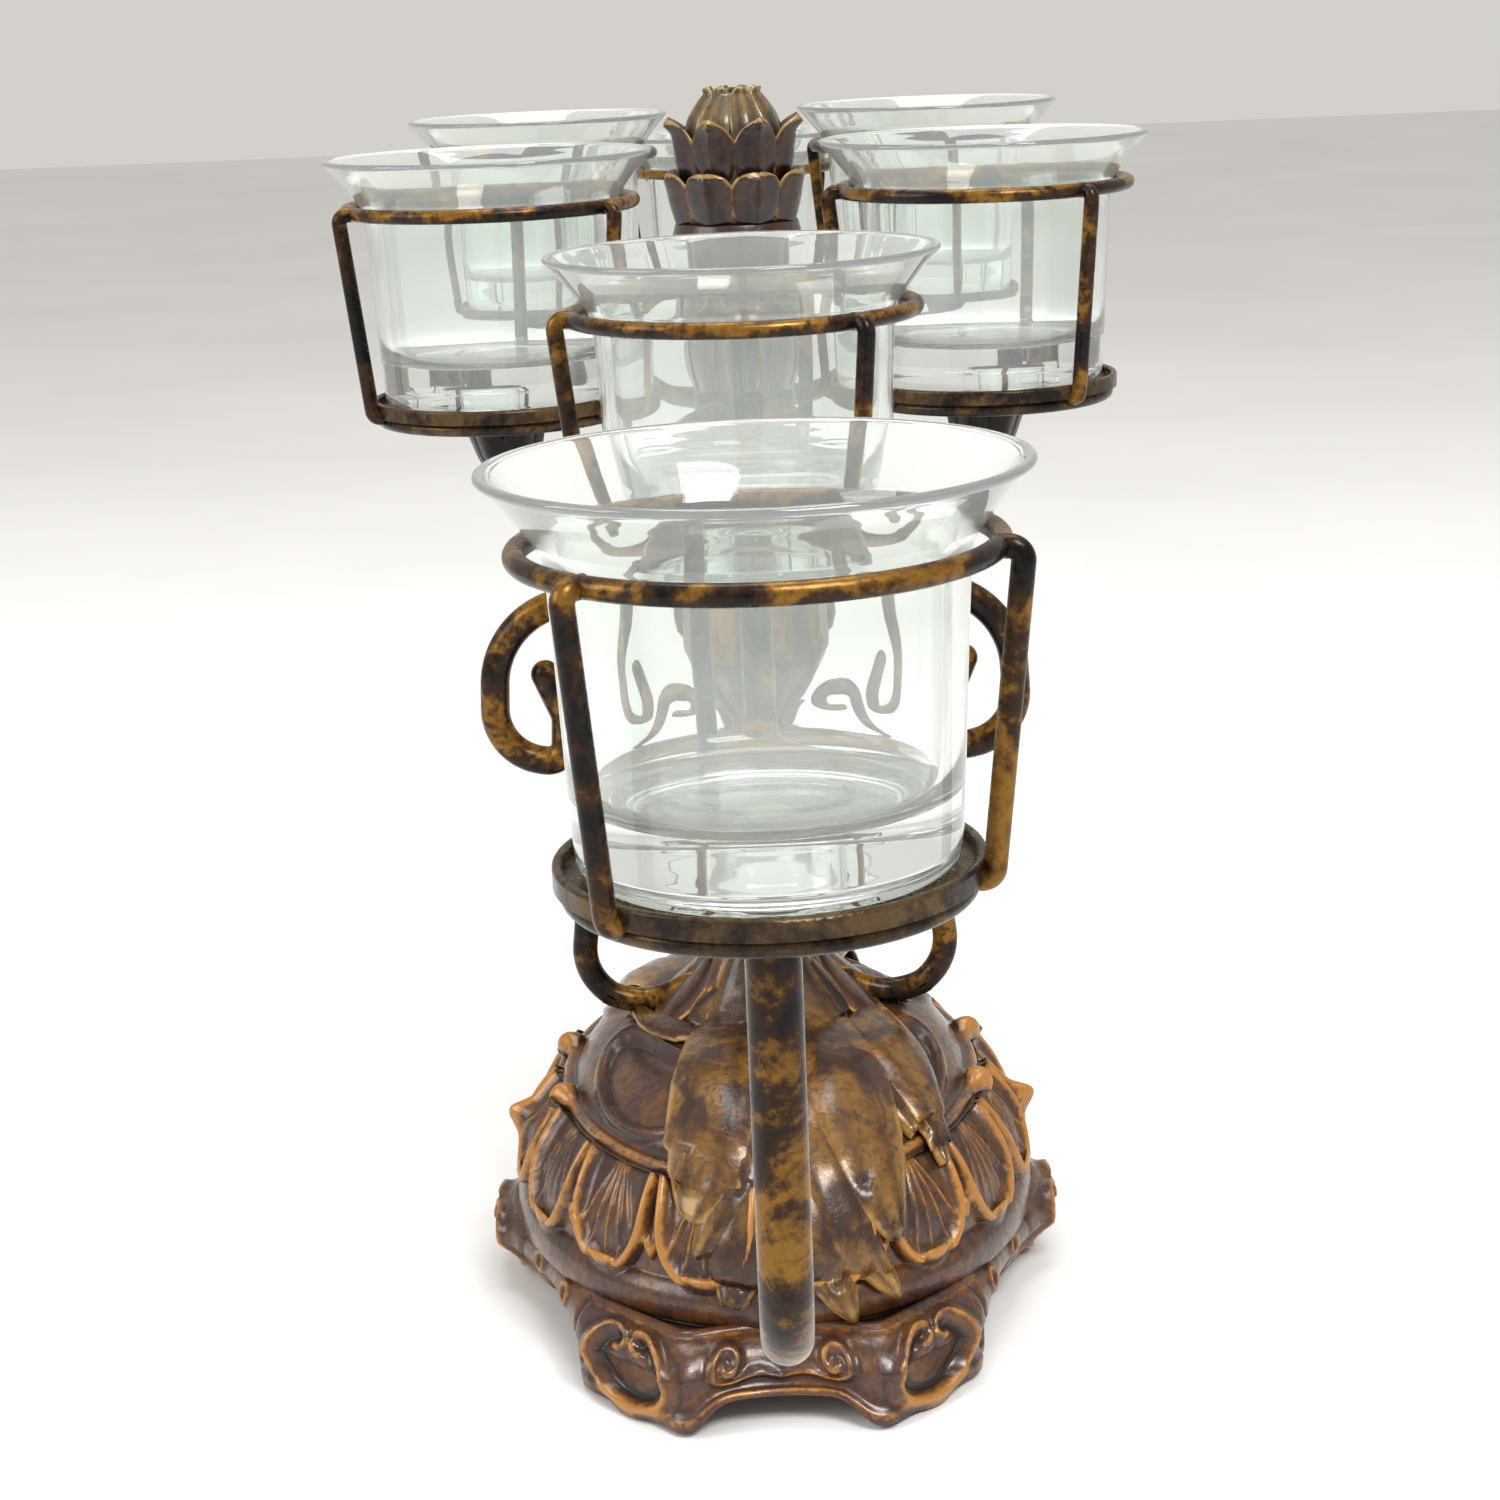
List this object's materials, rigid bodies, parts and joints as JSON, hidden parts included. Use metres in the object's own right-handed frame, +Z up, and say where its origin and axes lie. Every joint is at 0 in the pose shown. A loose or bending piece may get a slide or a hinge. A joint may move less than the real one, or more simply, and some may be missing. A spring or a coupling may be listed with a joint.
{
  "type": "votive candle rack",
  "caption": "Long table rack for votive candles: lift-out glass cups in wire holders on bronzed scroll arms, round a column with a bud finial on an ornate oval base.",
  "frame": {"origin": "middle of the base, on the surface it stands on", "axes": "+Z up, +Y along the long row of cups away from the viewer, +X across the rack to the viewer's right"},
  "size_m": [0.19, 0.842, 0.331],
  "materials": {
    "antiqued_casting": "semi-gloss antiqued resin with rubbed gold on its raised edges",
    "bronzed_wire": "glossy mottled golden brown over near-black",
    "bronzed_fitting": "dark bronzed casting, satin",
    "clear_glass": "clear pressed glass with a faint green tint",
    "plated_steel": "dull plated steel",
    "felt": "black felt"
  },
  "bodies": {
    "rack": {"base_casting": "antiqued_casting", "felt_pads": "felt", "tie_rod": "plated_steel", "base_nut": "plated_steel", "column_foot": "antiqued_casting", "column_vase": "antiqued_casting", "arm_collar": "bronzed_fitting", "column_neck": "antiqued_casting", "inner_collar": "bronzed_fitting", "column_urn": "antiqued_casting", "finial": "antiqued_casting", "arm_front": "bronzed_wire", "arm_rear": "bronzed_wire", "mid_stem_front": "bronzed_wire", "mid_stem_rear": "bronzed_wire", "arm_near_left": "bronzed_wire", "arm_near_right": "bronzed_wire", "arm_far_left": "bronzed_wire", "arm_far_right": "bronzed_wire", "leaf_near_left": "bronzed_fitting", "leaf_near_right": "bronzed_fitting", "leaf_far_left": "bronzed_fitting", "leaf_far_right": "bronzed_fitting", "scroll_upper_left": "bronzed_wire", "scroll_upper_right": "bronzed_wire", "scroll_lower_left": "bronzed_wire", "scroll_lower_right": "bronzed_wire", "pan_screws": "plated_steel", "front_outer_ring": "bronzed_wire", "front_outer_posts": "bronzed_wire", "front_outer_pan": "bronzed_wire", "front_mid_ring": "bronzed_wire", "front_mid_posts": "bronzed_wire", "front_mid_pan": "bronzed_wire", "near_left_ring": "bronzed_wire", "near_left_posts": "bronzed_wire", "near_left_pan": "bronzed_wire", "near_right_ring": "bronzed_wire", "near_right_posts": "bronzed_wire", "near_right_pan": "bronzed_wire", "far_left_ring": "bronzed_wire", "far_left_posts": "bronzed_wire", "far_left_pan": "bronzed_wire", "far_right_ring": "bronzed_wire", "far_right_posts": "bronzed_wire", "far_right_pan": "bronzed_wire", "rear_mid_ring": "bronzed_wire", "rear_mid_posts": "bronzed_wire", "rear_mid_pan": "bronzed_wire", "rear_outer_ring": "bronzed_wire", "rear_outer_posts": "bronzed_wire", "rear_outer_pan": "bronzed_wire"},
    "front_outer_votive": {"front_outer_cup": "clear_glass"},
    "front_mid_votive": {"front_mid_cup": "clear_glass"},
    "near_left_votive": {"near_left_cup": "clear_glass"},
    "near_right_votive": {"near_right_cup": "clear_glass"},
    "far_left_votive": {"far_left_cup": "clear_glass"},
    "far_right_votive": {"far_right_cup": "clear_glass"},
    "rear_mid_votive": {"rear_mid_cup": "clear_glass"},
    "rear_outer_votive": {"rear_outer_cup": "clear_glass"}
  },
  "joints": [
    {"name": "front_outer_lift", "type": "slide", "parent": "rack", "child": "front_outer_votive", "axis": [0, 0, 1], "range_m": [0, 0.07]},
    {"name": "front_mid_lift", "type": "slide", "parent": "rack", "child": "front_mid_votive", "axis": [0, 0, 1], "range_m": [0, 0.07]},
    {"name": "near_left_lift", "type": "slide", "parent": "rack", "child": "near_left_votive", "axis": [0, 0, 1], "range_m": [0, 0.07]},
    {"name": "near_right_lift", "type": "slide", "parent": "rack", "child": "near_right_votive", "axis": [0, 0, 1], "range_m": [0, 0.07]},
    {"name": "far_left_lift", "type": "slide", "parent": "rack", "child": "far_left_votive", "axis": [0, 0, 1], "range_m": [0, 0.07]},
    {"name": "far_right_lift", "type": "slide", "parent": "rack", "child": "far_right_votive", "axis": [0, 0, 1], "range_m": [0, 0.07]},
    {"name": "rear_mid_lift", "type": "slide", "parent": "rack", "child": "rear_mid_votive", "axis": [0, 0, 1], "range_m": [0, 0.07]},
    {"name": "rear_outer_lift", "type": "slide", "parent": "rack", "child": "rear_outer_votive", "axis": [0, 0, 1], "range_m": [0, 0.07]}
  ]
}
